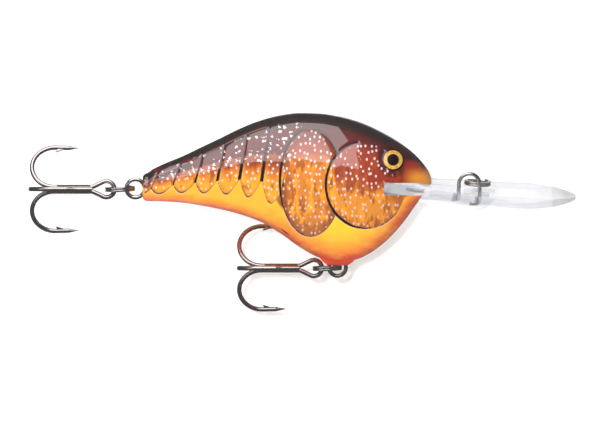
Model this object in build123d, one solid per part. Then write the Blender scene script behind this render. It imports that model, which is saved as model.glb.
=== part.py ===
from build123d import *
import os
from math import sin, cos, tan, radians, degrees, sqrt, atan2, pi

# Deep-diving crankbait fishing lure.
# Frame: +X towards the nose and diving lip, +Z towards the back, +Y to the lure's left.
# Origin: centre of the line-tie eye.  All dimensions in millimetres.

# ------------------------------------------------------------------ driving dimensions
WALL = 1.3                     # moulded shell wall
# body stations: X, top Z, bottom Z, half width
STATIONS = [
    (-67.96, 1.67, -3.05, 2.35),
    (-67.44, 2.19, -3.51, 2.45),
    (-66.92, 2.42, -3.61, 2.55),
    (-66.08, 3.08, -3.62, 2.72),
    (-64.83, 3.74, -3.64, 2.98),
    (-62.75, 4.67, -3.71, 3.43),
    (-59.83, 5.87, -3.91, 4.08),
    (-56.08, 7.67, -4.47, 4.95),
    (-51.92, 9.67, -5.27, 5.91),
    (-47.75, 11.74, -6.34, 6.85),
    (-43.58, 13.42, -7.89, 7.74),
    (-39.42, 14.54, -10.37, 8.53),
    (-35.25, 15.04, -13.34, 9.15),
    (-31.08, 14.91, -15.58, 9.58),
    (-27.33, 14.35, -16.43, 9.75),
    (-23.79, 13.44, -15.97, 9.70),
    (-20.67, 12.24, -14.58, 9.42),
    (-17.75, 10.76, -12.41, 8.83),
    (-15.25, 9.28, -9.92, 7.97),
    (-13.17, 7.83, -7.33, 6.99),
    (-11.50, 6.42, -4.93, 5.96),
    (-10.25, 5.12, -3.14, 4.96),
    (-9.21, 3.77, -1.89, 3.84),
    (-8.52, 2.66, -1.19, 2.79),
    (-8.10, 1.70, -0.50, 1.80),
    (-7.92, 0.97, -0.08, 1.00),
]
CAV_X0, CAV_X1 = -57.5, -13.6  # hollow of the body, rear and front ends

PAD_X0, PAD_X1 = -29.75, -25.05   # flat pad round the belly hanger
PAD_HALF_W = 2.2
PAD_Z = -16.85

# diving lip: top and bottom profiles (X, Z) and half width along X
LIP_TOP = [(-17.80, 1.90), (-11.00, 1.30), (-7.80, 0.14), (-3.17, -0.38), (2.90, -0.99),
           (6.42, -1.34), (12.46, -1.70), (16.00, -1.82), (19.50, -2.05), (22.17, -2.45)]
LIP_BOT = [(22.17, -2.95), (19.50, -3.30), (16.00, -3.34), (12.46, -3.26), (6.42, -2.94),
           (2.90, -2.59), (-3.17, -2.00), (-7.80, -1.56), (-17.80, -0.66)]
LIP_HALF_W = [(-17.80, 8.74), (-15.25, 7.90), (-13.17, 6.95), (-11.80, 6.42), (-10.04, 6.28),
              (-7.75, 6.50), (-5.46, 7.15),
              (-3.17, 8.00), (-0.25, 8.75), (2.88, 9.50), (6.42, 10.45), (9.54, 11.00),
              (11.63, 11.08), (13.71, 10.50), (15.38, 9.40), (17.33, 7.90), (19.13, 5.95),
              (20.60, 4.35)]
LIP_TIP_X = 22.17
BOSS_HALF_W = 1.7
BOSS_BOT = [(-13.2, -3.10), (-10.30, -3.45), (-7.10, -3.65), (-3.40, -4.15), (0.30, -4.80),
            (2.20, -5.00), (3.10, -4.92), (4.10, -4.30), (5.30, -2.70)]

# wire parts
TIE_R, TIE_WIRE = 2.16, 0.80          # line-tie arch: centreline radius, wire diameter
TIE_FOOT_Z = -4.05
HANGER_WIRE = 0.85
TAIL_EYE = (-69.50, -0.93, 1.905)     # X, Z, centreline radius of the tail eye
TAIL_EYE_IN_X = -64.90                # inner eye of the tail hanger
BELLY_EYE = (-27.44, -17.68, 1.775)   # X, Z, centreline radius of the belly eye
BELLY_EYE_IN_Z = -12.70               # inner eye of the belly hanger
INNER_EYE_R = 1.35

# split rings: radial width of the wire, axial height of the wire, pitch
RING_W, RING_H, RING_PITCH, RING_TURNS = 0.68, 0.44, 0.48, 1.90
TAIL_RING = (-72.70, -1.05, 2.77)     # centre X, centre Z, mean radius
BELLY_RING = (-29.54, -17.80, 2.72)
RING_ROLL = -7.0                      # lean of the two hook rings about X
TIE_RING_REAR = (-0.71, 0.54)         # rear wire centre of the line-tie ring, X and Z
TIE_RING_R = 2.42
TIE_RING_PITCH = 6.0                  # front of the ring lower by this angle

# treble hooks, both the same size
HOOK_WIRE = 0.95
HOOK_BEND_R = 4.75
HOOK_LEG = 4.85                       # from the bend's top to the point
HOOK_POINT = 2.1                      # length of the ground point
HOOK_IN = 1.5                         # degrees that the point leg leans inward
HOOK_SHANK_R = HOOK_WIRE / sqrt(3)    # wire axis to treble axis
HOOK_BEND_X = -13.0                   # bend centre behind the front of the eye
HOOK_EYE_R = 1.675                    # centreline radius of the eye
HOOK_EYE_BASE = -5.0                  # where the eye opens, behind the front of the eye
HOOK_SINGLE_END = -5.15
HOOK_ROLL = 10.6                      # roll of each treble about its shank
TAIL_HOOK = (-73.40, 0.0, -1.08)      # front of the eye
BELLY_HOOK = (-30.20, 0.0, -17.80)

# inside
BALLAST_X, BALLAST_Z, BALLAST_R, BALLAST_HALF = -36.6, -6.9, 3.1, 4.6
TUBE_X0, TUBE_X1, TUBE_Z, TUBE_R, TUBE_RI = -50.2, -31.0, 3.6, 3.0, 2.30
BALL_R, BALL_PLAY = 2.20, 3.2
RIB_X, RIB_T = (-47.4, -33.6), 1.2
PINS = [(-54.2, 2.2), (-44.2, 10.0), (-23.2, 9.4), (-20.6, -9.4)]
PIN_R, PIN_BOSS_R, PIN_LEN, PIN_GAP = 0.80, 1.80, 1.5, 0.05

# eyes
EYE_X, EYE_Y, EYE_Z = -16.0, 6.20, 6.18
EYE_R, EYE_T = 2.40, 1.1
EYE_AXIS = (0.36, 0.79, 0.50)         # outward, left eye

YZ = lambda x: Plane(origin=(x, 0, 0), x_dir=(0, 1, 0), z_dir=(1, 0, 0))
XZ = Plane(origin=(0, 0, 0), x_dir=(1, 0, 0), z_dir=(0, -1, 0))


def big_box(x0, x1, y0, y1, z0, z1):
    return Pos((x0 + x1) / 2, (y0 + y1) / 2, (z0 + z1) / 2) * Box(x1 - x0, y1 - y0, z1 - z0)


def oval(x, zt, zb, w):
    """One closed body section in the plane X = x."""
    zc, a = (zt + zb) / 2, (zt - zb) / 2
    pts = [(w * cos(radians(t)), zc + a * sin(radians(t))) for t in range(90, -270, -15)]
    return YZ(x) * make_face(Wire([Spline(*pts, periodic=True)]))


def lofted(stations):
    return loft([oval(*s) for s in stations])


def lerp(table, x, k):
    for a, b in zip(table, table[1:]):
        if a[0] <= x <= b[0]:
            f = (x - a[0]) / (b[0] - a[0])
            return a[k] + f * (b[k] - a[k])
    return table[-1][k] if x > table[-1][0] else table[0][k]


def cyl_y(x, z, r, y0, y1):
    return Pos(x, (y0 + y1) / 2, z) * Rot(90, 0, 0) * Cylinder(r, y1 - y0)


def cyl_x(y, z, r, x0, x1):
    return Pos((x0 + x1) / 2, y, z) * Rot(0, 90, 0) * Cylinder(r, x1 - x0)


def plate(points, y0, y1):
    """A polygon in the XZ plane, given its thickness along Y."""
    face = XZ * make_face(Polyline(*points, close=True))
    return Pos(0, y1, 0) * extrude(face, amount=y1 - y0, dir=(0, -1, 0))


def wire_sweep(edges, d):
    path = Wire(edges)
    start = path.position_at(0)
    plane = Plane(origin=start, z_dir=path.tangent_at(0))
    return sweep(plane * Circle(d / 2), path=path)


# ------------------------------------------------------------------ wire hangers
def hanger(outer, inner_centre, r_in, direction):
    """Figure-eight wire: outer eye, neck, and an inner eye round a moulded post."""
    ox, oz, r_out = outer
    eye = Pos(ox, 0, oz) * Rot(90, 0, 0) * Torus(r_out, HANGER_WIRE / 2)
    anchor = Pos(inner_centre[0], 0, inner_centre[1]) * Rot(90, 0, 0) * Torus(r_in, HANGER_WIRE / 2)
    dx, dz = direction
    a = (ox + dx * r_out, oz + dz * r_out)
    b = (inner_centre[0] - dx * r_in, inner_centre[1] - dz * r_in)
    length = sqrt((b[0] - a[0]) ** 2 + (b[1] - a[1]) ** 2)
    mid = ((a[0] + b[0]) / 2, (a[1] + b[1]) / 2)
    rot = Rot(0, 90, 0) if abs(dx) > 0.5 else Rot(0, 0, 0)
    neck = Pos(mid[0], 0, mid[1]) * rot * Cylinder(HANGER_WIRE / 2 * 1.25, length + 0.5)
    return eye + anchor + neck


tail_hanger = hanger(TAIL_EYE, (TAIL_EYE_IN_X, TAIL_EYE[1]), INNER_EYE_R, (1, 0))
belly_hanger = hanger(BELLY_EYE, (BELLY_EYE[0], BELLY_EYE_IN_Z), INNER_EYE_R, (0, 1))

# ------------------------------------------------------------------ line-tie wire
e1 = Line((-TIE_R - 1.6, 0, TIE_FOOT_Z + 0.9), (-TIE_R - 0.9, 0, TIE_FOOT_Z + 0.9))
e2 = ThreePointArc((-TIE_R - 0.9, 0, TIE_FOOT_Z + 0.9),
                   (-TIE_R - 0.9 + 0.9 * sin(pi / 4), 0, TIE_FOOT_Z + 1.8 - 0.9 * cos(pi / 4)),
                   (-TIE_R, 0, TIE_FOOT_Z + 1.8))
e3 = Line((-TIE_R, 0, TIE_FOOT_Z + 1.8), (-TIE_R, 0, 0))
e4 = ThreePointArc((-TIE_R, 0, 0), (0, 0, TIE_R), (TIE_R, 0, 0))
e5 = Line((TIE_R, 0, 0), (TIE_R, 0, TIE_FOOT_Z + 0.9))
e6 = ThreePointArc((TIE_R, 0, TIE_FOOT_Z + 0.9),
                   (TIE_R - 0.9 + 0.9 * cos(pi / 4), 0, TIE_FOOT_Z + 0.9 - 0.9 * sin(pi / 4)),
                   (TIE_R - 0.9, 0, TIE_FOOT_Z))
e7 = Line((TIE_R - 0.9, 0, TIE_FOOT_Z), (TIE_R - 2.1, 0, TIE_FOOT_Z))
line_tie = wire_sweep([e1, e2, e3, e4, e5, e6, e7], TIE_WIRE)

# ------------------------------------------------------------------ diving lip
# planform: two curved sides and a rounded paddle end
n_side = [p for p in LIP_HALF_W]
sx, sw = n_side[-1]
outline = Wire([
    Spline(*n_side),
    ThreePointArc((sx, sw), (LIP_TIP_X, 0), (sx, -sw)),
    Spline(*[(x, -w) for x, w in reversed(n_side)]),
    Line((n_side[0][0], -n_side[0][1]), (n_side[0][0], n_side[0][1])),
])
plan = extrude(Pos(0, 0, -8) * make_face(outline), amount=14)
# side profile, run past both ends of the planform
ends_t = (LIP_TIP_X + 1.4, LIP_TOP[-1][1] - 0.16)
ends_b = (LIP_TIP_X + 1.4, LIP_BOT[0][1] + 0.10)
back_t = (LIP_TOP[0][0] - 1.5, LIP_TOP[0][1] + 0.13)
back_b = (LIP_BOT[-1][0] - 1.5, LIP_BOT[-1][1] + 0.13)
top_curve = Spline(*(LIP_TOP[2:] + [ends_t]))
bot_curve = Spline(*([ends_b] + LIP_BOT[:7]))
profile = Wire([
    Line(back_t, LIP_TOP[1]), Line(LIP_TOP[1], LIP_TOP[2]), top_curve,
    Line(ends_t, ends_b), bot_curve,
    Line(LIP_BOT[6], LIP_BOT[7]), Line(LIP_BOT[7], back_b), Line(back_b, back_t),
])
slab = Pos(0, 14, 0) * extrude(XZ * make_face(profile), amount=28, dir=(0, -1, 0))
blade = plan & slab
boss = plate(BOSS_BOT + [(5.3, -2.4), (-3.17, -1.6), (-13.2, -0.9)], -BOSS_HALF_W, BOSS_HALF_W)
lip_full = blade + boss
# weight-saving pockets in both flanks of the boss
for px, pz, pl, ph in [(-6.0, -2.9, 2.2, 0.8), (-0.4, -3.7, 1.7, 0.8)]:
    for s in (-1, 1):
        lip_full -= Pos(px, s * BOSS_HALF_W, pz) * Box(pl, 1.0, ph)
diving_lip = lip_full - line_tie

# ------------------------------------------------------------------ body shells
outer = lofted(STATIONS)
pad = Pos((PAD_X0 + PAD_X1) / 2, 0, -14.0) * extrude(
    RectangleRounded(PAD_X1 - PAD_X0, 2 * PAD_HALF_W, 1.2), amount=PAD_Z + 14.0)
outer = outer + pad
inner_st = []
n = 15
for i in range(n):
    x = CAV_X0 + (CAV_X1 - CAV_X0) * i / (n - 1)
    zt, zb, w = (lerp(STATIONS, x, k) for k in (1, 2, 3))
    # steeper flanks need a deeper offset for the same wall
    k = WALL * (1.0 + 0.35 * max(0.0, (x + 26.0) / 12.0))
    inner_st.append((x, zt - k * 1.1, zb + k * 1.15, w - k))
inner = lofted(inner_st)

# lip housing: solid block round the slot, front of the body
slot = plate([(-17.86, 1.93), (-11.00, 1.33), (-7.80, 0.17), (-4.0, -0.2), (-4.0, -1.95),
              (-7.80, -1.59), (-17.86, -0.69)], -12, 12)
boss_slot = plate([(-13.25, -1.0), (-13.25, -3.15), (-10.30, -3.50), (-7.10, -3.70), (-4.0, -4.1),
                   (-4.0, -1.0)], -BOSS_HALF_W - 0.03, BOSS_HALF_W + 0.03)
housing = big_box(-19.3, -7, -12, 12, -2.3, 3.4)
housing += big_box(-14.8, -7, -3.2, 3.2, -5.2, -2.0)
belly_boss = big_box(-31.3, -23.6, -3.4, 3.4, -17, -10.4)
ballast_wall = cyl_y(BALLAST_X, BALLAST_Z, BALLAST_R + 1.0, -12, 12)
ribs = None
for rx in RIB_X:
    r = big_box(rx - RIB_T / 2, rx + RIB_T / 2, -12, 12, -14, 15)
    ribs = r if ribs is None else ribs + r
pin_bosses = None
for x, z in PINS:
    b = cyl_y(x, z, PIN_BOSS_R, -11, 11)
    pin_bosses = b if pin_bosses is None else pin_bosses + b

eye_dir = {+1: Vector(EYE_AXIS[0], EYE_AXIS[1], EYE_AXIS[2]).normalized(),
           -1: Vector(EYE_AXIS[0], -EYE_AXIS[1], EYE_AXIS[2]).normalized()}


def eye_plane(s):
    return Plane(origin=(EYE_X, s * EYE_Y, EYE_Z), z_dir=eye_dir[s])


def eye_solid(s):
    """Domed eye insert: a disc with a spherical cap."""
    dome_h, r = 0.52, EYE_R
    big_r = (r * r + dome_h * dome_h) / (2 * dome_h)
    disc = Pos(0, 0, -EYE_T / 2 - 0.25) * Cylinder(r, EYE_T)
    cap = Pos(0, 0, dome_h - big_r - 0.25) * Sphere(big_r)
    cap = cap & (Pos(0, 0, 0.5 - 0.25) * Cylinder(r, 1.0))
    return eye_plane(s) * (disc + cap)


eyes = {s: eye_solid(s) for s in (1, -1)}
sockets = {s: eye_plane(s) * (Pos(0, 0, 0.6 - EYE_T / 2 - 0.25) * Cylinder(EYE_R, EYE_T + 1.2)) for s in (1, -1)}
eye_bosses = {s: eye_plane(s) * (Pos(0, 0, -1.2) * Cylinder(EYE_R + 0.9, 2.6)) for s in (1, -1)}

cavity = inner - housing - belly_boss - ballast_wall - ribs - pin_bosses - eye_bosses[1] - eye_bosses[-1]
cavity += cyl_y(BALLAST_X, BALLAST_Z, BALLAST_R, -BALLAST_HALF, BALLAST_HALF)
cavity += cyl_x(0, TUBE_Z, TUBE_R, TUBE_X0, TUBE_X1)
shell = outer - cavity - slot - boss_slot
shell = shell - tail_hanger - belly_hanger
shell = shell - sockets[1] - sockets[-1]
left = shell & big_box(-80, 0, 0, 14, -20, 20)
right = shell & big_box(-80, 0, -14, 0, -20, 20)
for x, z in PINS:
    left += cyl_y(x, z, PIN_R, -PIN_LEN, 0.6)
    right -= cyl_y(x, z, PIN_R + PIN_GAP, -PIN_LEN - 0.2, 0.1)

# ------------------------------------------------------------------ split rings
def split_ring(r):
    turns = RING_TURNS
    height = RING_PITCH * turns
    path = Helix(pitch=RING_PITCH, height=height, radius=r)
    plane = Plane(origin=path @ 0, x_dir=(1, 0, 0), z_dir=path % 0)
    ring = sweep(plane * RectangleRounded(RING_W, RING_H, 0.12), path=path, is_frenet=True)
    return Pos(0, 0, -height / 2) * ring


tail_ring = Pos(TAIL_RING[0], 0, TAIL_RING[1]) * Rot(RING_ROLL, 0, 0) * Rot(0, 0, 100) * split_ring(TAIL_RING[2])
belly_ring = Pos(BELLY_RING[0], 0, BELLY_RING[1]) * Rot(RING_ROLL, 0, 0) * Rot(0, 0, 100) * split_ring(BELLY_RING[2])
tie_ring = (Pos(TIE_RING_REAR[0], 0, TIE_RING_REAR[1]) * Rot(0, TIE_RING_PITCH, 0) * Pos(TIE_RING_R, 0, 0)
            * Rot(0, 0, 80) * split_ring(TIE_RING_R))


# ------------------------------------------------------------------ treble hooks
# local frame: u along X (0 at the front of the eye, bend at negative X), hooks along unit
# vectors in the YZ plane at angle phi from +Y
PHI3 = 180.0 - HOOK_ROLL
PHI_A, PHI_B = PHI3 - 120.0, PHI3 + 120.0


def rad_pt(u, r, phi):
    return Vector(u, r * cos(radians(phi)), r * sin(radians(phi)))


def hook_edges(phi, shank_front_x):
    """Edges from the point leg to the shank, and the frame of the ground point."""
    rc = HOOK_SHANK_R + HOOK_BEND_R
    ang = 90.0 - HOOK_IN
    tx, tr = HOOK_BEND_X + HOOK_BEND_R * cos(radians(ang)), rc + HOOK_BEND_R * sin(radians(ang))
    straight = HOOK_LEG - HOOK_POINT
    dx, dr = cos(radians(HOOK_IN)), -sin(radians(HOOK_IN))
    p_end = (tx + straight * dx, tr + straight * dr)
    leg = Line(rad_pt(*p_end, phi), rad_pt(tx, tr, phi))
    bend = ThreePointArc(rad_pt(tx, tr, phi), rad_pt(HOOK_BEND_X - HOOK_BEND_R, rc, phi),
                         rad_pt(HOOK_BEND_X, HOOK_SHANK_R, phi))
    shank = Line(rad_pt(HOOK_BEND_X, HOOK_SHANK_R, phi), rad_pt(shank_front_x, HOOK_SHANK_R, phi))
    return leg, bend, shank, p_end, (dx, dr)


def point_and_barb(phi, p_end, d):
    """Ground needle point and the cut barb, on the inner side of the leg."""
    base = rad_pt(*p_end, phi)
    tip_dir = rad_pt(d[0], d[1], phi)
    plane = Plane(origin=base, z_dir=tip_dir)
    cone = plane * (Pos(0, 0, HOOK_POINT / 2) * Cone(HOOK_WIRE / 2, 0.05, HOOK_POINT))
    rin = HOOK_SHANK_R + 2 * HOOK_BEND_R - HOOK_WIRE / 2
    tri = [(HOOK_BEND_X + 1.75, rin + 0.25), (HOOK_BEND_X + 0.75, rin + 0.25), (HOOK_BEND_X + 0.15, rin - 0.55),
           (HOOK_BEND_X + 0.55, rin - 0.42), (HOOK_BEND_X + 1.75, rin + 0.02)]
    face = make_face(Polyline(*[rad_pt(u, r, phi) for u, r in tri], close=True))
    nrm = rad_pt(1, 0, phi).cross(rad_pt(0, 1, phi))
    barb = extrude(face, amount=0.2, dir=nrm) + extrude(face, amount=0.2, dir=nrm * -1)
    return cone + barb


def double_hook():
    la, ba, sa, ea, da = hook_edges(PHI_A, 0)
    lb, bb, sb, eb, db = hook_edges(PHI_B, 0)
    # eye plane: offset from the axis, away from the third hook
    off = -HOOK_SHANK_R * cos(radians(60))
    e3v = rad_pt(0, 1, PHI3)
    s_dir = rad_pt(0, 1, PHI3 - 90)          # towards hook A
    P = lambda u, s: Vector(u, 0, 0) + e3v * off + s_dir * s
    hs = HOOK_SHANK_R * sin(radians(60))
    R = HOOK_EYE_R
    uc = -HOOK_WIRE / 2 - R
    bx = HOOK_EYE_BASE
    # line from the eye's opening to the eye's circle, tangent to it
    dx, ds = bx - uc, hs
    dist = sqrt(dx * dx + ds * ds)
    base_ang = atan2(ds, dx)
    t_ang = base_ang - math_acos(R / dist)
    T = (uc + R * cos(t_ang), R * sin(t_ang))
    ldir = ((T[0] - bx), (T[1] - hs))
    ll = sqrt(ldir[0] ** 2 + ldir[1] ** 2)
    ldir = (ldir[0] / ll, ldir[1] / ll)
    turn = atan2(ldir[1], ldir[0])
    rf = 1.3
    tl = rf * tan(turn / 2)
    p1 = (bx - tl, hs)
    p2 = (bx + tl * ldir[0], hs + tl * ldir[1])
    fc = (p1[0], hs + rf)
    pm = (fc[0] + rf * sin(turn / 2), fc[1] - rf * cos(turn / 2))
    edges = [la, ba, Line(rad_pt(HOOK_BEND_X, HOOK_SHANK_R, PHI_A), P(*p1)),
             ThreePointArc(P(*p1), P(*pm), P(*p2)), Line(P(*p2), P(*T)),
             ThreePointArc(P(*T), P(uc + R, 0), P(T[0], -T[1])),
             Line(P(T[0], -T[1]), P(p2[0], -p2[1])),
             ThreePointArc(P(p2[0], -p2[1]), P(pm[0], -pm[1]), P(p1[0], -p1[1])),
             Line(P(p1[0], -p1[1]), rad_pt(HOOK_BEND_X, HOOK_SHANK_R, PHI_B)), bb, lb]
    body = wire_sweep(edges, HOOK_WIRE)
    return body + point_and_barb(PHI_A, ea, da) + point_and_barb(PHI_B, eb, db)


def math_acos(v):
    return atan2(sqrt(max(0.0, 1 - v * v)), v)


def single_hook():
    l, b, s, e, d = hook_edges(PHI3, HOOK_SINGLE_END)
    body = wire_sweep([l, b, s], HOOK_WIRE)
    return body + point_and_barb(PHI3, e, d)


def braze():
    """Solder in the three grooves of the shank."""
    x0, x1 = HOOK_BEND_X + 0.6, HOOK_SINGLE_END - 0.35
    sk = Circle(0.80)
    for phi in (PHI_A, PHI_B, PHI3):
        sk -= Pos(HOOK_SHANK_R * cos(radians(phi)), HOOK_SHANK_R * sin(radians(phi))) * Circle(HOOK_WIRE / 2)
    solids = []
    for f in sk.faces():
        if f.area > 0.05:
            solids.append(extrude(YZ(x0) * f, amount=x1 - x0, dir=(1, 0, 0)))
    out = []
    for s in solids:
        out.extend(s.solids())
    return out


dbl, sgl, brz = double_hook(), single_hook(), braze()


# ------------------------------------------------------------------ inside pieces
ballast = cyl_y(BALLAST_X, BALLAST_Z, BALLAST_R - 0.04, -BALLAST_HALF + 0.04, BALLAST_HALF - 0.04)
tube = cyl_x(0, TUBE_Z, TUBE_R, TUBE_X0, TUBE_X1 - 1.0) - cyl_x(0, TUBE_Z, TUBE_RI, TUBE_X0 + 0.8, TUBE_X1)
plug = cyl_x(0, TUBE_Z, TUBE_R, TUBE_X1 - 1.0, TUBE_X1) + cyl_x(0, TUBE_Z, TUBE_RI, TUBE_X1 - 1.9, TUBE_X1 - 0.5)
ball_x0 = TUBE_X0 + 0.8 + BALL_R + 0.05
balls = [Pos(ball_x0 + i * (2 * BALL_R + 0.02), 0, TUBE_Z) * Sphere(BALL_R) for i in range(3)]
play = (TUBE_X1 - 1.9) - (ball_x0 + 2 * (2 * BALL_R + 0.02) + BALL_R)
print("rattle play %.3f" % play)

# ------------------------------------------------------------------ write
os.makedirs("parts", exist_ok=True)


def solid_list(shape):
    if isinstance(shape, (list, tuple)):
        out = []
        for s in shape:
            out.extend(solid_list(s))
        return out
    return list(shape.solids())


def write(name, shape, expect=1):
    sols = solid_list(shape)
    sols = [s for s in sols if s.volume > 1e-4]
    if expect and len(sols) != expect:
        print("  note:", name, "has", len(sols), "solids, volumes", [round(s.volume, 3) for s in sols])
        sols = sorted(sols, key=lambda s: -s.volume)[:expect]
    shape = sols[0] if len(sols) == 1 else Compound(children=sols)
    export_step(shape, "parts/%s.step" % name)


def placed(shape, at):
    if isinstance(shape, list):
        return [Pos(*at) * s for s in shape]
    return Pos(*at) * shape


write("body_shell_right", right)
write("body_shell_left", left)
write("diving_lip", diving_lip)
write("line_tie_wire", line_tie)
write("line_tie_split_ring", tie_ring)
write("belly_hook_hanger", belly_hanger)
write("tail_hook_hanger", tail_hanger)
write("belly_split_ring", belly_ring)
write("tail_split_ring", tail_ring)
for nm, at in (("belly", BELLY_HOOK), ("tail", TAIL_HOOK)):
    write(nm + "_treble_double_hook", placed(dbl, at))
    write(nm + "_treble_single_hook", placed(sgl, at))
    write(nm + "_treble_braze", placed(brz, at), 3)
write("belly_ballast_weight", ballast)
write("rattle_tube", tube)
write("rattle_tube_plug", plug)
write("rattle_balls", balls, 3)
write("right_eye", eyes[-1])
write("left_eye", eyes[1])
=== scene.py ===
import bpy, bmesh, math
import numpy as np
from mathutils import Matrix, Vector


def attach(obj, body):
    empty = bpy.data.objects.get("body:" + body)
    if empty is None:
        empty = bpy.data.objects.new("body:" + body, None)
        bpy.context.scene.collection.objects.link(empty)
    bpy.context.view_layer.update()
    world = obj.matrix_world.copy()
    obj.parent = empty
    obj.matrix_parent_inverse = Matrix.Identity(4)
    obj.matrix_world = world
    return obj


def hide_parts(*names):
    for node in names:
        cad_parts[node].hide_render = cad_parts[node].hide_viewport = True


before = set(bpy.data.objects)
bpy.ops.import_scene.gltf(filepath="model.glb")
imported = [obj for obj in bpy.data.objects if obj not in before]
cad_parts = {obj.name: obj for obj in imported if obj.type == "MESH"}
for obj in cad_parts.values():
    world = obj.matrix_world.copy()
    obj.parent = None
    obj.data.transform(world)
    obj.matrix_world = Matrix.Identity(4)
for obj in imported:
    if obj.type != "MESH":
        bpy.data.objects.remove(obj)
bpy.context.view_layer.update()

MM = 0.001
ELEV = math.radians(10.6)
SE, CE = math.sin(ELEV), math.cos(ELEV)
PX = 4.8                       # paint units per millimetre
DX = 469.2                     # paint units at x = 0

scene = bpy.context.scene
scene.view_settings.view_transform = "Standard"
scene.view_settings.look = "None"


# ---------------------------------------------------------------- small helpers
def lin(c):
    """sRGB 0..255 to linear 0..1"""
    c = np.asarray(c, float) / 255.0
    return np.where(c <= 0.04045, c / 12.92, ((c + 0.055) / 1.055) ** 2.4)


def rgba(r, g, b):
    v = lin((r, g, b))
    return (float(v[0]), float(v[1]), float(v[2]), 1.0)


def smooth(e0, e1, x):
    t = np.clip((x - e0) / (e1 - e0), 0.0, 1.0)
    return t * t * (3 - 2 * t)


def pchip(xs, ys, x):
    xs, ys, x = np.asarray(xs, float), np.asarray(ys, float), np.asarray(x, float)
    h = np.diff(xs)
    d = np.diff(ys) / h
    m = np.zeros_like(ys)
    for i in range(1, len(xs) - 1):
        if d[i - 1] * d[i] > 0:
            w1, w2 = 2 * h[i] + h[i - 1], h[i] + 2 * h[i - 1]
            m[i] = (w1 + w2) / (w1 / d[i - 1] + w2 / d[i])
    m[0], m[-1] = d[0], d[-1]
    k = np.clip(np.searchsorted(xs, x) - 1, 0, len(xs) - 2)
    t = (x - xs[k]) / h[k]
    return ((1 + 2 * t) * (1 - t) ** 2 * ys[k] + t * (1 - t) ** 2 * h[k] * m[k]
            + t * t * (3 - 2 * t) * ys[k + 1] + t * t * (t - 1) * h[k] * m[k + 1])


def new_mesh(name, verts, faces, smooth_faces=True):
    me = bpy.data.meshes.new(name)
    me.from_pydata([tuple(map(float, v)) for v in verts], [], faces)
    me.update()
    if smooth_faces:
        me.polygons.foreach_set("use_smooth", [True] * len(me.polygons))
    ob = bpy.data.objects.new(name, me)
    scene.collection.objects.link(ob)
    return ob


def apply_modifiers(ob):
    bpy.context.view_layer.objects.active = ob
    for m in list(ob.modifiers):
        bpy.ops.object.modifier_apply(modifier=m.name)


def outward(ob):
    bm = bmesh.new()
    bm.from_mesh(ob.data)
    bmesh.ops.recalc_face_normals(bm, faces=bm.faces)
    bm.to_mesh(ob.data)
    bm.free()


def boolean(ob, cutters, op="DIFFERENCE"):
    for c in cutters:
        m = ob.modifiers.new("cut", "BOOLEAN")
        m.operation = op
        m.solver = "EXACT"
        m.object = c
    apply_modifiers(ob)
    for c in cutters:
        bpy.data.objects.remove(c, do_unlink=True)


# ---------------------------------------------------------------- the body's form
STATIONS = np.array([
    (-67.96, 1.67, -3.05, 2.35), (-67.44, 2.19, -3.51, 2.45), (-66.92, 2.42, -3.61, 2.55),
    (-66.08, 3.08, -3.62, 2.72), (-64.83, 3.74, -3.64, 2.98), (-62.75, 4.67, -3.71, 3.43),
    (-59.83, 5.87, -3.91, 4.08), (-56.08, 7.67, -4.47, 4.95), (-51.92, 9.67, -5.27, 5.91),
    (-47.75, 11.74, -6.34, 6.85), (-43.58, 13.42, -7.89, 7.74), (-39.42, 14.54, -10.37, 8.53),
    (-35.25, 15.04, -13.34, 9.15), (-31.08, 14.91, -15.58, 9.58), (-27.33, 14.35, -16.43, 9.75),
    (-23.79, 13.44, -15.97, 9.70), (-20.67, 12.24, -14.58, 9.42), (-17.75, 10.76, -12.41, 8.83),
    (-15.25, 9.28, -9.92, 7.97), (-13.17, 7.83, -7.33, 6.99), (-11.50, 6.42, -4.93, 5.96),
    (-10.25, 5.12, -3.14, 4.96), (-9.21, 3.77, -1.89, 3.84), (-8.52, 2.66, -1.19, 2.79),
    (-8.10, 1.70, -0.50, 1.80), (-7.92, 0.97, -0.08, 1.00)])


def profile_at(x):
    return tuple(pchip(STATIONS[:, 0], STATIONS[:, k], x) for k in (1, 2, 3))


# ---------------------------------------------------------------- paint layout
# A plain segmented scheme laid out by formula: evenly spaced scallops and segment
# lines along the tail, then two round plates. The eye sits at its CAD place.
TAIL_FROM, TAIL_STEP = -66.2, 4.6          # first scallop and spacing, mm
PLATE_A = (-33.0, 0.3, 6.4, 11.2)          # centre u, v and half axes, mm
PLATE_B = (-21.6, -0.2, 8.3, 9.0)
EYE_UV = (-15.96, 5.0)
PUPIL_UV = EYE_UV


def disc(u, v, c):
    """radial distance to an oval, positive inside"""
    du, dv = u - c[0], v - c[1]
    p = np.hypot(du, dv) + 1e-9
    q = np.hypot(du / c[2], dv / c[3]) + 1e-9
    return p * (1 / q - 1)


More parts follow.
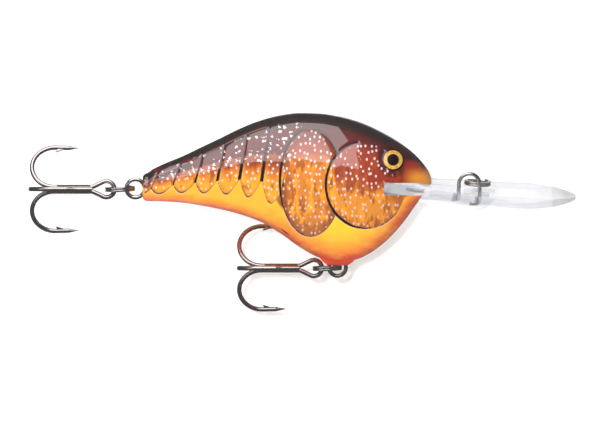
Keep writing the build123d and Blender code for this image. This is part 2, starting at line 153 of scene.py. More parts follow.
def paint_fields(x, y, z):
    """Every paint field at points of the skin, in millimetres."""
    u = x
    v = -np.abs(y) * SE + z * CE
    zt, zb, w = profile_at(np.clip(x, -67.96, -7.92))
    zc, a = (zt + zb) / 2, (zt - zb) / 2
    reach = np.sqrt((a * CE) ** 2 + (w * SE) ** 2)
    vt, vb = zc * CE + reach, zc * CE - reach
    h = np.maximum(vt - vb, 0.5)
    t = np.clip((v - vb) / h, 0, 1)
    f = {}
    # scallops, which lean forward as they rise
    phase = (u - TAIL_FROM - 3.0 * (t - 0.4)) / TAIL_STEP
    frac = phase - np.floor(phase)
    edge = 0.42 - 0.20 * np.sin(np.pi * frac) ** 0.9
    tail = (u > TAIL_FROM - 1.5) & (u < -38.6)
    leaf = np.where(tail, np.minimum((t - edge) * h * 0.8, (0.66 - t) * h), -5.0)
    f["leaf"] = leaf
    f["leaf_t"] = np.clip((t - edge) / (0.66 - edge), 0, 1)
    plate_a, plate_b = disc(u, v, PLATE_A), disc(u, v, PLATE_B)
    head = np.minimum(u + 18.0, v + 1.2)
    f["claw"], f["cheek"] = plate_a, np.maximum(plate_b, head)
    # segment lines between scallops, thickest low down
    seam = np.minimum(frac, 1 - frac) * TAIL_STEP
    wide = 0.10 + 0.26 * smooth(0.85, 0.46, t) * smooth(-67.0, -48.0, u)
    seg = np.where(tail & (t > 0.40) & (t < 0.95), seam - wide, 9.0)
    scallop = np.where(tail, np.abs((t - edge) * h * 0.8) - 0.09, 9.0)
    # outlines of the two round plates, fading out at the top and towards the nose
    wa = 0.10 + 0.16 * smooth(-6.0, 1.0, v)
    line_a = np.where((u < -25.5) & (v < 11.5), np.abs(plate_a) - wa, 9.0)
    line_a = np.where(plate_b > -0.25, 9.0, line_a)
    wb = 0.09 + 0.17 * smooth(-19.0, -27.0, u)
    line_b = np.where((u < -15.0) & ((v < 0) | (u < -23.0)), np.abs(plate_b) - wb, 9.0)
    f["line"] = np.minimum(np.minimum(seg, scallop), np.minimum(line_a, line_b))
    # pale edge lines just outside the plate outlines and the scallop edges, low on the flank: painted highlight on
    # the groove edges
    highlight_rim = np.minimum(np.abs(plate_a + 0.24), np.abs(plate_b + 0.24)) - 0.10
    highlight_rim = highlight_rim + (1 - smooth(-4.5, -6.5, v)) * 2.0
    highlight_rim = np.where((x > -15.5) | (plate_b > 0.1), 9.0, highlight_rim)
    f["pale"] = np.minimum(highlight_rim, np.where(tail, np.abs((t - edge) * h * 0.8 + 0.24) - 0.07, 9.0))
    f["backline"] = np.where(x < -42.0, np.abs(vt - v - 1.9) - 0.06, 9.0)
    f["black"] = np.hypot(u - EYE_UV[0], v - EYE_UV[1]) - 2.25
    f["u"], f["v"] = u, v
    return f


def mixc(a, b, t):
    return a + (b - a) * t[:, None]


def base_colours(x, y, z, f):
    """Colours outside and inside the plates, linear."""
    zt, zb, w = profile_at(np.clip(x, -67.96, -7.92))
    zc, a = (zt + zb) / 2, (zt - zb) / 2
    vt = (zc * CE + np.sqrt((a * CE) ** 2 + (w * SE) ** 2))
    vb = (zc * CE - np.sqrt((a * CE) ** 2 + (w * SE) ** 2))
    v = f["v"]
    top = (vt - v) * PX          # drawing units below the top outline
    bot = (v - vb) * PX          # and above the bottom outline
    n = len(x)
    K = lambda r, g, b: np.tile(lin((r, g, b)), (n, 1))
    # turned under, so not seen from the side
    under = smooth(0.0, -0.6, (z - zc) / a + 0.80)
    px = x * PX + DX
    # --- belly
    belly = K(250, 176, 44)
    belly = mixc(belly, K(252, 190, 40), smooth(285, 330, px) * smooth(16, 34, bot))
    belly = mixc(K(240, 128, 40), belly, smooth(5, 26, bot) * smooth(250, 300, px) + (1 - smooth(250, 300, px)) * smooth(2, 12, bot))
    rim_c = mixc(K(232, 104, 96), K(216, 72, 44), smooth(225, 280, px))
    rim_w = 4.5 + 7.5 * smooth(245, 325, px)
    belly = mixc(rim_c, belly, smooth(0.2, 1.0, bot / rim_w))
    # front edge of the belly below the lip
    front = smooth(14.0, 3.0, (-10.4 - x) * PX + (v + 3.0) * PX * 0.75)
    belly = mixc(belly, K(222, 92, 40), front * 0.9 * smooth(-1.0, -3.0, v))
    # --- flank outside the plates, above the belly
    back = K(35, 25, 24)
    c = mixc(back, K(44, 30, 28), smooth(2, 8, top))
    c = mixc(c, K(58, 30, 26), smooth(7, 12, top))
    red = mixc(K(92, 24, 22), K(70, 26, 22), smooth(150, 215, px) * 0 + (1 - smooth(160, 215, px)))
    c = mixc(c, red, smooth(11, 17, top))
    low_red = mixc(K(128, 46, 28), K(150, 70, 30), smooth(300, 260, px))
    c = mixc(c, low_red, smooth(-0.05, -0.55, (v - (1.9 + 0.062 * (px - 170) * 0.4)) / 3.0))
    # belly starts below a line that runs with the leaf tips
    fore = np.interp(px, [284, 300, 372, 400, 432], [-5.0, -5.5, -5.5, -3.2, 0.4])
    split = vb + 0.45 * (vt - vb)
    split = split + (fore - split) * smooth(262, 284, px)
    out = mixc(c, belly, smooth(0.5, -0.5, v - split))
    out = mixc(out, K(214, 74, 44), under * 0.85)
    # --- leaves
    t = f["leaf_t"]
    leaf = mixc(K(238, 158, 36), K(206, 112, 34), smooth(0.30, 0.62, t))
    leaf = mixc(leaf, K(132, 50, 24), smooth(0.55, 0.86, t))
    edge = smooth(0.75, 0.05, f["leaf"])
    leaf = mixc(leaf, K(168, 92, 52), edge * 0.45)
    # --- claw
    claw = K(206, 122, 42)
    claw = mixc(claw, K(156, 68, 44), smooth(3.0, 7.2, v))
    claw = mixc(claw, K(96, 50, 44), smooth(7.5, 10.5, v))
    cedge = smooth(3.3, 0.3, f["claw"])
    claw = mixc(claw, K(120, 52, 30), cedge * 0.80)
    claw = mixc(claw, K(170, 102, 50), smooth(-6.5, -10.0, v) * 0.7)
    # --- cheek
    ck = mixc(K(152, 62, 40), K(148, 52, 26), smooth(330, 375, px))
    ck = mixc(ck, K(140, 44, 24), smooth(370, 405, px))
    ck = mixc(ck, K(214, 132, 40), smooth(1.0, -3.6, v + (px - 355) * 0.045))
    ck = mixc(ck, K(176, 92, 46), smooth(1.6, 0.2, f["cheek"]) * smooth(0, -3, v) * 0.8)
    # top of the head back to the dark back
    high = smooth(2.4, 4.4, v)
    ck = mixc(ck, K(92, 30, 25), smooth(30, 17, top) * smooth(335, 350, px) * high)
    ck = mixc(ck, K(38, 26, 25), smooth(19, 9, top) * high)
    round_eye = np.hypot(x - EYE_UV[0], (v - EYE_UV[1]) * 0.92)
    ck = mixc(ck, K(64, 16, 15), smooth(3.7, 2.9, round_eye) * 0.85)
    ck = mixc(ck, K(150, 40, 24), smooth(398, 410, px) * smooth(1.6, 3.0, v) * smooth(5.4, 4.0, v))
    ck = mixc(ck, K(232, 148, 46), smooth(399, 419, px) * smooth(3.9, 1.2, v))
    ck = mixc(ck, K(44, 22, 21), smooth(8.0, 3.0, top) * smooth(2.6, 4.2, v))
    inside = np.where((f["claw"] > f["cheek"])[:, None], claw, ck)
    inside = np.where((f["leaf"] > np.maximum(f["claw"], f["cheek"]))[:, None], leaf, inside)
    # keep the very top dark whatever plate it is on
    inside = mixc(inside, K(37, 26, 25), smooth(13, 7, top) * smooth(360, 330, px))
    inside = mixc(inside, mixc(K(60, 26, 24), K(100, 40, 34), smooth(12, 20, top)), smooth(22, 12, top) * smooth(350, 330, px) * 0.8)
    return out, inside


def add_attr(me, name, values, kind="FLOAT"):
    a = me.attributes.new(name, kind, "POINT")
    if kind == "FLOAT":
        a.data.foreach_set("value", np.asarray(values, np.float32))
    else:
        flat = np.ones((len(values), 4), np.float32)
        flat[:, :3] = values
        a.data.foreach_set("color", flat.ravel())


# ---------------------------------------------------------------- body skin
def body_skin():
    nx, na = 290, 300
    s = np.linspace(0, 1, nx)
    # closer rings at both ends
    warp = s + 0.018 * np.sin(2 * np.pi * s) * 0
    xs = -67.96 + (67.96 - 7.92) * warp
    tail_fine = -67.96 + np.array([0.0, 0.06, 0.14, 0.24, 0.36, 0.5])
    nose_fine = -7.92 - np.array([0.75, 0.6, 0.47, 0.35, 0.25, 0.17, 0.1, 0.05, 0.02, 0.0])
    xs = np.unique(np.concatenate([xs[(xs > -67.4) & (xs < -8.75)], tail_fine, nose_fine]))
    nx = len(xs)
    th = np.linspace(0, 2 * np.pi, na, endpoint=False)
    zt, zb, w = profile_at(xs)
    zc, a = (zt + zb) / 2, (zt - zb) / 2
    X = np.repeat(xs[:, None], na, 1)
    Y = w[:, None] * np.cos(th)[None, :]
    Z = zc[:, None] + a[:, None] * np.sin(th)[None, :]
    # normals of the grid
    dxu = np.gradient(X, axis=0); dyu = np.gradient(Y, axis=0); dzu = np.gradient(Z, axis=0)
    dyv = (np.roll(Y, -1, 1) - np.roll(Y, 1, 1)); dzv = (np.roll(Z, -1, 1) - np.roll(Z, 1, 1))
    nxv = dyu * dzv - dzu * dyv
    nyv = -dxu * dzv
    nzv = dxu * dyv
    ln = np.sqrt(nxv ** 2 + nyv ** 2 + nzv ** 2) + 1e-12
    nxv, nyv, nzv = nxv / ln, nyv / ln, nzv / ln
    sgn = np.sign((nyv * Y + nzv * (Z - zc[:, None])).mean())
    nxv, nyv, nzv = nxv * sgn, nyv * sgn, nzv * sgn
    f = paint_fields(X.ravel(), Y.ravel(), Z.ravel())
    groove = -0.085 * smooth(0.32, -0.02, f["line"])
    plate = np.maximum(np.maximum(f["leaf"], f["claw"]), np.where(X.ravel() < -14, f["cheek"], -1))
    top_fade = smooth(0.2, 2.2, (profile_at(X.ravel())[0] - Z.ravel()))
    pillow = 0.16 * smooth(0.0, 1.6, plate) * top_fade
    h = (groove * top_fade + pillow).reshape(X.shape)
    fade = (smooth(-67.9, -66.5, xs) * smooth(-8.2, -10.5, xs))[:, None]
    h = h * fade - 0.06 * fade
    X = X + nxv * h; Y = Y + nyv * h; Z = Z + nzv * h
    verts = np.stack([X, Y, Z], -1).reshape(-1, 3) * MM
    verts = list(map(tuple, verts))
    faces = []
    for i in range(nx - 1):
        for j in range(na):
            j2 = (j + 1) % na
            faces.append((i * na + j, i * na + j2, (i + 1) * na + j2, (i + 1) * na + j))
    for end, x_c, bulge in ((0, xs[0], 0.0), (nx - 1, xs[-1], 0.0)):
        prev = [end * na + j for j in range(na)]
        cy, cz = 0.0, zc[end]
        base = np.array([verts[k] for k in prev])
        for sc in (0.93, 0.75, 0.45):
            ring = []
            for k in range(na):
                p = base[k]
                ring.append(len(verts))
                verts.append((p[0], p[1] * sc, cz * MM + (p[2] - cz * MM) * sc))
            for j in range(na):
                j2 = (j + 1) % na
                q = (prev[j], prev[j2], ring[j2], ring[j])
                faces.append(q if end else q[::-1])
            prev = ring
        c = len(verts)
        verts.append((base[0][0], 0.0, cz * MM))
        for j in range(na):
            j2 = (j + 1) % na
            q = (prev[j], prev[j2], c)
            faces.append(q if end else q[::-1])
    ob = new_mesh("painted_body", verts, faces)
    outward(ob)
    return ob


def prism(name, pts, y0, y1, mat_slots=None):
    n = len(pts)
    v = [(x * MM, y0 * MM, z * MM) for x, z in pts] + [(x * MM, y1 * MM, z * MM) for x, z in pts]
    f = [tuple(range(n))[::-1], tuple(range(n, 2 * n))]
    f += [(i, (i + 1) % n, n + (i + 1) % n, n + i) for i in range(n)]
    ob = new_mesh(name, v, f, False)
    outward(ob)
    return ob


def frame_axes(nrm):
    n = Vector(nrm).normalized()
    t = Vector((0, 0, 1)).cross(n).normalized()
    b = n.cross(t)
    return n, t, b


def lathe(name, origin, nrm, rings, seg=72, close_top=True):
    """rings: (radius, height along the axis) in mm from the back to the front"""
    n, t, b = frame_axes(nrm)
    o = Vector(origin) * MM
    verts, faces = [], []
    for r, h in rings:
        for k in range(seg):
            a = 2 * math.pi * k / seg
            verts.append(tuple(o + (t * math.cos(a) + b * math.sin(a)) * r * MM + n * h * MM))
    for i in range(len(rings) - 1):
        for k in range(seg):
            k2 = (k + 1) % seg
            faces.append((i * seg + k, i * seg + k2, (i + 1) * seg + k2, (i + 1) * seg + k))
    verts.append(tuple(o + n * rings[0][1] * MM))
    verts.append(tuple(o + n * rings[-1][1] * MM))
    c0, c1 = len(verts) - 2, len(verts) - 1
    m = (len(rings) - 1) * seg
    for k in range(seg):
        k2 = (k + 1) % seg
        faces.append((k2, k, c0))
        faces.append((m + k, m + k2, c1))
    ob = new_mesh(name, verts, faces)
    outward(ob)
    return ob


EYE_POS = {-1: (-16.0, -6.20, 6.18), 1: (-16.0, 6.20, 6.18)}
EYE_DIR = {-1: (0.36, -0.79, 0.50), 1: (0.36, 0.79, 0.50)}
EYE_R = 2.40

skin = body_skin()
pad = prism("pad", [(-31.2, -15.2), (-30.4, -16.10), (-29.75, -16.62), (-29.5, -16.80), (-25.3, -16.80), (-25.0, -16.62), (-24.4, -16.20), (-23.4, -15.2)], -2.2, 2.2)
boolean(skin, [pad], "UNION")
slot_cut = prism("slot_cut", [(-17.86, 1.93), (-11.0, 1.33), (-7.8, 0.17), (-4.0, -0.2), (-4.0, -1.95), (-7.8, -1.59), (-17.86, -0.69)], -12, 12)
boss_cut = prism("boss_cut", [(-13.25, -1.0), (-13.25, -3.15), (-10.30, -3.50), (-7.10, -3.70), (-4.0, -4.1), (-4.0, -1.0)], -1.73, 1.73)
sock = [lathe("sock%d" % s, EYE_POS[s], EYE_DIR[s], [(EYE_R + 0.03, -1.4), (EYE_R + 0.03, 2.5)], 72) for s in (-1, 1)]
boolean(skin, [slot_cut, boss_cut] + sock)

# which faces are cut walls: those inside the old skin
me = skin.data
co = np.empty(len(me.vertices) * 3)
me.vertices.foreach_get("co", co)
co = co.reshape(-1, 3) / MM
fld = paint_fields(co[:, 0], co[:, 1], co[:, 2])
outc, inc = base_colours(co[:, 0], co[:, 1], co[:, 2], fld)
on_pad = smooth(-16.1, -16.5, co[:, 2]) * (np.abs(co[:, 1]) < 2.6)
outc = mixc(outc, np.tile(lin((162, 66, 46)), (len(co), 1)), on_pad)
plate = np.maximum(np.maximum(fld["leaf"], fld["claw"]), fld["cheek"])
add_attr(me, "plate", plate)
add_attr(me, "line", fld["line"])
add_attr(me, "pale", fld["pale"])
add_attr(me, "backline", fld["backline"])
add_attr(me, "black", fld["black"])
add_attr(me, "pu", fld["u"])
pxs = co[:, 0] * PX + DX
zt_, zb_, w_ = profile_at(np.clip(co[:, 0], -67.96, -7.92))
top_ = ((zt_ + zb_) / 2 * CE + np.sqrt(((zt_ - zb_) / 2 * CE) ** 2 + (w_ * SE) ** 2) - fld["v"]) * PX
spotty = smooth(10, 16, top_) * (1 - smooth(385, 398, pxs) * smooth(-1.5, 0.5, fld["v"]))
spotty *= 1 - smooth(352, 372, pxs) * smooth(24, 12, top_)
add_attr(me, "spotty", spotty)
warm = np.where(fld["claw"] > fld["cheek"], smooth(0.3, 1.8, fld["claw"]) * smooth(8.5, 5.0, fld["v"]),
                0.12 + 0.7 * smooth(1.5, -2.5, fld["v"] + (pxs - 355) * 0.045))
warm = np.where(fld["leaf"] > 0, 0.25, warm)
warm *= 1 - smooth(392, 404, pxs)
add_attr(me, "warm", warm)
add_attr(me, "calm", 1 - smooth(388, 402, pxs))
add_attr(me, "pv", fld["v"])
add_attr(me, "col_out", outc, "FLOAT_COLOR")
add_attr(me, "col_in", inc, "FLOAT_COLOR")
zt, zb, w = profile_at(np.clip(co[:, 0], -67.96, -7.92))
zc, a = (zt + zb) / 2, (zt - zb) / 2
rad = np.sqrt((co[:, 1] / w) ** 2 + ((co[:, 2] - zc) / a) ** 2)
depth = (1 - rad) * np.minimum(w, a)
endcap = (co[:, 0] < -67.9) | (co[:, 0] > -8.0)
inner = (depth > 0.30) & ~endcap
add_attr(me, "bare", inner.astype(np.float32))
me.set_sharp_from_angle(angle=math.radians(38))


# ---------------------------------------------------------------- eyes
def eye_piece(side):
    rings = [(EYE_R - 0.05, -1.30), (EYE_R, -1.2), (EYE_R, -0.6), (EYE_R, 0.02)]
    dome = 0.50
    R = (EYE_R ** 2 + dome ** 2) / (2 * dome)
    for k in range(1, 22):
        r = EYE_R * math.cos(k / 22 * math.pi / 2)
        rings.append((r, 0.02 + math.sqrt(R * R - r * r) - (R - dome)))
    return rings


def field_eye(ob):
    me = ob.data
    co = np.empty(len(me.vertices) * 3)
    me.vertices.foreach_get("co", co)
    co = co.reshape(-1, 3) / MM
    u = co[:, 0]
    v = -np.abs(co[:, 1]) * SE + co[:, 2] * CE
    add_attr(me, "iris", np.hypot(u - EYE_UV[0], v - EYE_UV[1]))
    add_attr(me, "pupil", np.hypot(u - PUPIL_UV[0], v - PUPIL_UV[1]))
    add_attr(me, "pu", u)
    add_attr(me, "pv", v)


eyes = {}
for side, node in ((-1, "right_eye"), (1, "left_eye")):
    ob = lathe("%s_dome" % node, EYE_POS[side], EYE_DIR[side], eye_piece(side), 96)
    field_eye(ob)
    ob.data.set_sharp_from_angle(angle=math.radians(40))
    eyes[node] = ob


# ---------------------------------------------------------------- materials
class Nodes:
    def __init__(self, name):
        self.m = bpy.data.materials.new(name)
        self.m.use_nodes = True
        self.t = self.m.node_tree
        self.t.nodes.clear()
        self.out = self.n("ShaderNodeOutputMaterial")
        self.p = self.n("ShaderNodeBsdfPrincipled")
        self.link(self.p.outputs[0], self.out.inputs["Surface"])

    def n(self, kind, **kw):
        node = self.t.nodes.new(kind)
        for k, v in kw.items():
            setattr(node, k, v)
        return node

    def link(self, a, b):
        self.t.links.new(a, b)

    def put(self, **kw):
        for k, v in kw.items():
            s = self.p.inputs[k.replace("_", " ")]
            if hasattr(v, "is_output") or isinstance(v, bpy.types.NodeSocket):
                self.link(v, s)
            else:
                s.default_value = v

    def attr(self, name, colour=False):
        a = self.n("ShaderNodeAttribute", attribute_name=name)
        return a.outputs["Color"] if colour else a.outputs["Fac"]

    def step(self, x, e0, e1, lo=0.0, hi=1.0):
        """lo at e0 to hi at e1, eased"""
        r = self.n("ShaderNodeMapRange", interpolation_type="SMOOTHSTEP")
        if e0 > e1:
            e0, e1, lo, hi = e1, e0, hi, lo
        self.link(x, r.inputs[0])
        for i, v in zip((1, 2, 3, 4), (e0, e1, lo, hi)):
            r.inputs[i].default_value = v
        return r.outputs[0]

    def mix(self, fac, a, b, mode="MIX"):
        m = self.n("ShaderNodeMix", data_type="RGBA", blend_type=mode)
        for s, v in ((m.inputs[0], fac), (m.inputs[6], a), (m.inputs[7], b)):
            if isinstance(v, bpy.types.NodeSocket):
                self.link(v, s)
            else:
                s.default_value = v
        return m.outputs[2]

    def math(self, op, a, b=0.0):
        m = self.n("ShaderNodeMath", operation=op)
        for s, v in ((m.inputs[0], a), (m.inputs[1], b)):
            if isinstance(v, bpy.types.NodeSocket):
                self.link(v, s)
            else:
                s.default_value = v
        return m.outputs[0]

    def coord(self):
        return self.n("ShaderNodeTexCoord").outputs["Object"]

    def xy(self, a, b, c=0.0):
        m = self.n("ShaderNodeCombineXYZ")
        for s, v in zip(m.inputs, (a, b, c)):
            if isinstance(v, bpy.types.NodeSocket):
                self.link(v, s)
            else:
                s.default_value = v
        return m.outputs[0]

    def noise(self, vec, scale, detail=3.0, rough=0.5):
        n = self.n("ShaderNodeTexNoise")
        self.link(vec, n.inputs["Vector"])
        n.inputs["Scale"].default_value = scale
        n.inputs["Detail"].default_value = detail
        n.inputs["Roughness"].default_value = rough
        return n.outputs["Fac"]

    def voronoi(self, vec, scale, rnd=1.0):
        n = self.n("ShaderNodeTexVoronoi", voronoi_dimensions="2D")
        self.link(vec, n.inputs["Vector"])
        n.inputs["Scale"].default_value = scale
        n.inputs["Randomness"].default_value = rnd
        return n.outputs["Distance"], n.outputs["Color"]


def paint_material():
    N = Nodes("painted_shell")
    pu, pv = N.attr("pu"), N.attr("pv")
    plate, line, pale = N.attr("plate"), N.attr("line"), N.attr("pale")
    flat = N.xy(pu, pv)
    wob = N.math("MULTIPLY", N.math("SUBTRACT", N.noise(flat, 1.3, 2.0), 0.5), 0.16)
    plate_w = N.math("ADD", plate, wob)
    line_w = N.math("ADD", line, wob)
    inside = N.step(plate_w, -0.05, 0.06)
    c_in, c_out = N.attr("col_in", True), N.attr("col_out", True)
    # blotches in the plates
    tall = N.xy(pu, N.math("MULTIPLY", pv, 0.42))
    b1 = N.step(N.noise(tall, 0.62, 3.5, 0.6), 0.47, 0.62)
    b2 = N.step(N.noise(N.xy(pu, N.math("MULTIPLY", pv, 0.38), 3.7), 0.85, 3.5, 0.62), 0.52, 0.64)
    c_in = N.mix(N.math("MULTIPLY", b1, N.attr("warm")), c_in, rgba(246, 156, 36))
    c_in = N.mix(N.math("MULTIPLY", N.math("MULTIPLY", b2, N.attr("calm")), 0.62), c_in, rgba(122, 38, 20))
    dark_keep = N.step(pv, 3.2, 6.5)
    c_in = N.mix(dark_keep, c_in, N.attr("col_in", True))
    # soft streaks in the belly and the back
    b3 = N.step(N.noise(N.xy(N.math("MULTIPLY", pu, 0.5), pv, 9.1), 0.5, 3.0, 0.6), 0.42, 0.70)
    c_out = N.mix(N.math("MULTIPLY", b3, N.step(pv, -1.0, -3.5, 0.0, 0.22)), c_out, rgba(255, 214, 70))
    b4 = N.step(N.noise(N.xy(N.math("MULTIPLY", pu, 0.6), pv, 14.0), 0.42, 3.0, 0.6), 0.54, 0.66)
    c_out = N.mix(N.math("MULTIPLY", b4, N.math("MULTIPLY", N.step(pv, -1.0, 1.0), N.step(pv, 7.5, 4.5, 0.0, 0.75))), c_out, rgba(112, 10, 14))
    base = N.mix(inside, c_out, c_in)
    # spots on the plates
    sp = N.xy(pu, N.math("MULTIPLY", pv, 0.72))
    d, _ = N.voronoi(sp, 0.92, 0.80)
    keep = N.step(N.noise(N.xy(pu, pv, 21.0), 0.45, 1.0), 0.34, 0.44)
    spots = N.math("MULTIPLY", N.step(d, 0.225, 0.150), keep)
    zone = N.math("MULTIPLY", N.step(plate, 0.1, 0.5), N.step(N.attr("spotty"), 0.3, 0.7))
    spots = N.math("MULTIPLY", N.math("MULTIPLY", spots, zone), N.step(line, 0.0, 0.25))
    # the spots are paint; their stronger white higher on the flank, where the highlight band lies, is painted
    # highlight
    spots = N.math("MULTIPLY", spots, N.step(pv, -3.0, 3.0, 0.62, 0.95))
    base = N.mix(spots, base, rgba(228, 205, 208))
    # white squiggles that run with the back from the tail forward
    run = N.math("ADD", pu, 66.5)
    t = N.math("DIVIDE", N.math("SUBTRACT", N.math("SUBTRACT", pv, 1.27), N.math("MULTIPLY", run, 0.28)),
               N.math("ADD", N.math("MULTIPLY", run, 0.125), 0.5))
    band = N.step(N.math("ABSOLUTE", t), 1.1, 0.75)
    wig = N.xy(N.math("ADD", pu, N.math("MULTIPLY", N.noise(flat, 1.6, 2.0), 1.4)), N.math("MULTIPLY", pv, 0.8))
    d2, _ = N.voronoi(wig, 0.95, 1.0)
    sq = N.math("MULTIPLY", N.step(d2, 0.25, 0.18), N.step(N.noise(N.xy(pu, pv, 33.0), 0.42, 1.0), 0.44, 0.52))
    sq = N.math("MULTIPLY", N.math("MULTIPLY", sq, band), N.step(pu, -34.5, -36.5, 0.0, 0.9))
    sq = N.math("MULTIPLY", sq, N.step(line, 0.0, 0.25))
    base = N.mix(sq, base, rgba(238, 226, 228))
    # the fine light line along the back, then dark outlines and pale edges; the pale edges are painted highlight on
    # the groove edges
    base = N.mix(N.step(N.attr("backline"), 0.13, 0.03, 0.0, 0.7), base, rgba(150, 92, 84))
    # pale edges: painted highlight beside the grooves
    base = N.mix(N.step(pale, 0.05, -0.05, 0.0, 0.78), base, rgba(196, 168, 166))
    base = N.mix(N.step(line_w, 0.06, -0.06), base, rgba(20, 12, 14))
    base = N.mix(N.step(N.attr("black"), 0.05, -0.05), base, rgba(10, 7, 9))
    N.put(Base_Color=base)
    grain = N.noise(N.coord(), 900.0, 2.0)
    N.put(Roughness=N.step(grain, 0.3, 0.7, 0.42, 0.52))
    N.put(Specular_IOR_Level=0.3, Coat_Weight=1.0, Coat_Roughness=0.025, Coat_IOR=1.75)
    return N.m


def bare_wall_reflection_material():
    N = Nodes("bare_wall_painted_reflection")
    # the grey is the cut wall's bare plastic and also stands in for the bright reflection in the lip's clear edge
    # seen through it: partly painted reflection
    n = N.noise(N.coord(), 500.0, 3.0)
    N.put(Base_Color=N.mix(N.step(n, 0.35, 0.65), rgba(112, 110, 109), rgba(168, 166, 164)), Roughness=N.step(n, 0.3, 0.7, 0.45, 0.6))
    return N.m


def metal_material(name, a, b, r0, r1, scale=900.0):
    N = Nodes(name)
    n = N.noise(N.coord(), scale, 3.0)
    N.put(Base_Color=N.mix(n, rgba(*a), rgba(*b)), Metallic=1.0, Roughness=N.step(n, 0.3, 0.7, r0, r1))
    return N.m


def plastic_material(name, a, b, r0, r1, scale=600.0):
    N = Nodes(name)
    n = N.noise(N.coord(), scale, 3.0)
    N.put(Base_Color=N.mix(n, rgba(*a), rgba(*b)), Roughness=N.step(n, 0.3, 0.7, r0, r1))
    return N.m


def clear_material(name, a, b, r0, r1, ior, alpha):
    N = Nodes(name)
    N.put(Alpha=alpha)
    sep = N.n("ShaderNodeSeparateXYZ")
    N.link(N.n("ShaderNodeNewGeometry").outputs["Normal"], sep.inputs[0])
    nz = N.math("ABSOLUTE", sep.outputs[2])
    n = N.noise(N.coord(), 260.0, 2.0)
    c = N.mix(n, rgba(*a), rgba(*b))
    # sloped rim faces turn blue-grey and upright edge faces pale by their tilt: painted reflection in the clear edge
    c = N.mix(N.step(nz, 0.97, 0.88), c, rgba(150, 154, 176))
    c = N.mix(N.step(nz, 0.45, 0.30), c, rgba(222, 224, 232))
    N.put(Base_Color=c, Roughness=N.step(n, 0.3, 0.7, r0, r1), IOR=ior, Transmission_Weight=1.0)
    t = N.n("ShaderNodeBsdfTransparent")
    t.inputs[0].default_value = (0.80, 0.80, 0.82, 1)
    lp = N.n("ShaderNodeLightPath")
    mx = N.n("ShaderNodeMixShader")
    N.link(lp.outputs["Is Shadow Ray"], mx.inputs[0])
    N.link(N.p.outputs[0], mx.inputs[1])
    N.link(t.outputs[0], mx.inputs[2])
    N.link(mx.outputs[0], N.out.inputs["Surface"])
    return N.m


def eye_material():
    N = Nodes("eye_paint")
    iris, pupil = N.attr("iris"), N.attr("pupil")
    n = N.noise(N.xy(N.attr("pu"), N.attr("pv")), 1.6, 3.0)
    gold = N.mix(N.step(n, 0.35, 0.65), rgba(194, 146, 60), rgba(222, 178, 88))
    c = N.mix(N.step(iris, 1.93, 2.00), gold, rgba(14, 9, 10))
    c = N.mix(N.step(iris, 2.12, 2.22), c, rgba(52, 14, 13))
    c = N.mix(N.step(pupil, 1.27, 1.18), c, rgba(20, 2, 3))
    N.put(Base_Color=c, Roughness=N.step(n, 0.3, 0.7, 0.35, 0.45), Specular_IOR_Level=0.3,
          Coat_Weight=1.0, Coat_Roughness=0.02, Coat_IOR=1.6)
    return N.m


paint = paint_material()
bare = bare_wall_reflection_material()
nickel = metal_material("black_nickel_finish", (176, 167, 167), (194, 185, 184), 0.18, 0.28)
steel = metal_material("bright_steel", (186, 182, 180), (204, 200, 197), 0.14, 0.24)
brass = metal_material("solder_joint", (168, 160, 150), (188, 182, 172), 0.30, 0.42)
lead = metal_material("cast_ballast", (96, 98, 104), (120, 122, 128), 0.42, 0.58)
balls = metal_material("polished_balls", (196, 196, 198), (214, 214, 216), 0.08, 0.16)
tube = plastic_material("tube_resin", (206, 208, 204), (226, 226, 222), 0.25, 0.38)
clear = clear_material("clear_lip_resin", (236, 238, 244), (244, 245, 250), 0.015, 0.03, 1.46, 0.55)
eye_mat = eye_material()

# the cut walls carry the bare material, whose grey is partly painted reflection of the lip's clear edge
skin.data.materials.clear()
skin.data.materials.append(paint)
skin.data.materials.append(bare)
me = skin.data
npoly = len(me.polygons)
loop_tot = np.empty(npoly, np.int32); me.polygons.foreach_get("loop_total", loop_tot)
cen = np.empty(npoly * 3); me.polygons.foreach_get("center", cen); cen = cen.reshape(-1, 3) / MM
nrm = np.empty(npoly * 3); me.polygons.foreach_get("normal", nrm); nrm = nrm.reshape(-1, 3)
zt, zb, w = profile_at(np.clip(cen[:, 0], -67.96, -7.92))
zc, a = (zt + zb) / 2, (zt - zb) / 2
gy, gz = cen[:, 1] / w ** 2, (cen[:, 2] - zc) / a ** 2
gl = np.sqrt(gy ** 2 + gz ** 2) + 1e-9
facing = (nrm[:, 1] * gy + nrm[:, 2] * gz) / gl
rad = np.sqrt((cen[:, 1] / w) ** 2 + ((cen[:, 2] - zc) / a) ** 2)
depth = (1 - rad) * np.minimum(w, a)
wall = (depth > 0.22) & (cen[:, 0] > -67.9) & (cen[:, 0] < -7.98)
on_slot = (cen[:, 0] > -18.0) & (np.abs(nrm[:, 1]) < 0.05) & (facing < 0.2) & (cen[:, 2] < 2.1) & (cen[:, 2] > -4.3)
me.polygons.foreach_set("material_index", (wall | on_slot).astype(np.int32))

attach(skin, "lure_body")
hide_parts("body_shell_left", "body_shell_right")
for node, ob in eyes.items():
    ob.data.materials.append(eye_mat)
    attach(ob, "lure_body")
    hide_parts(node)

for name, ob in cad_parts.items():
    if name in ("body_shell_left", "body_shell_right", "left_eye", "right_eye"):
        continue
    if name == "diving_lip":
        mat = clear
    elif "braze" in name:
        mat = brass
    elif "treble" in name:
        mat = nickel
    elif "ring" in name or "hanger" in name or "wire" in name:
        mat = steel
    elif "ball" in name and "ballast" not in name:
        mat = balls
    elif "ballast" in name or "weight" in name:
        mat = lead
    else:
        mat = tube
    if len(ob.material_slots) == 0:
        ob.data.materials.append(mat)
    for s in ob.material_slots:
        s.link = "OBJECT"
        s.material = mat
    print("node", name, mat.name)

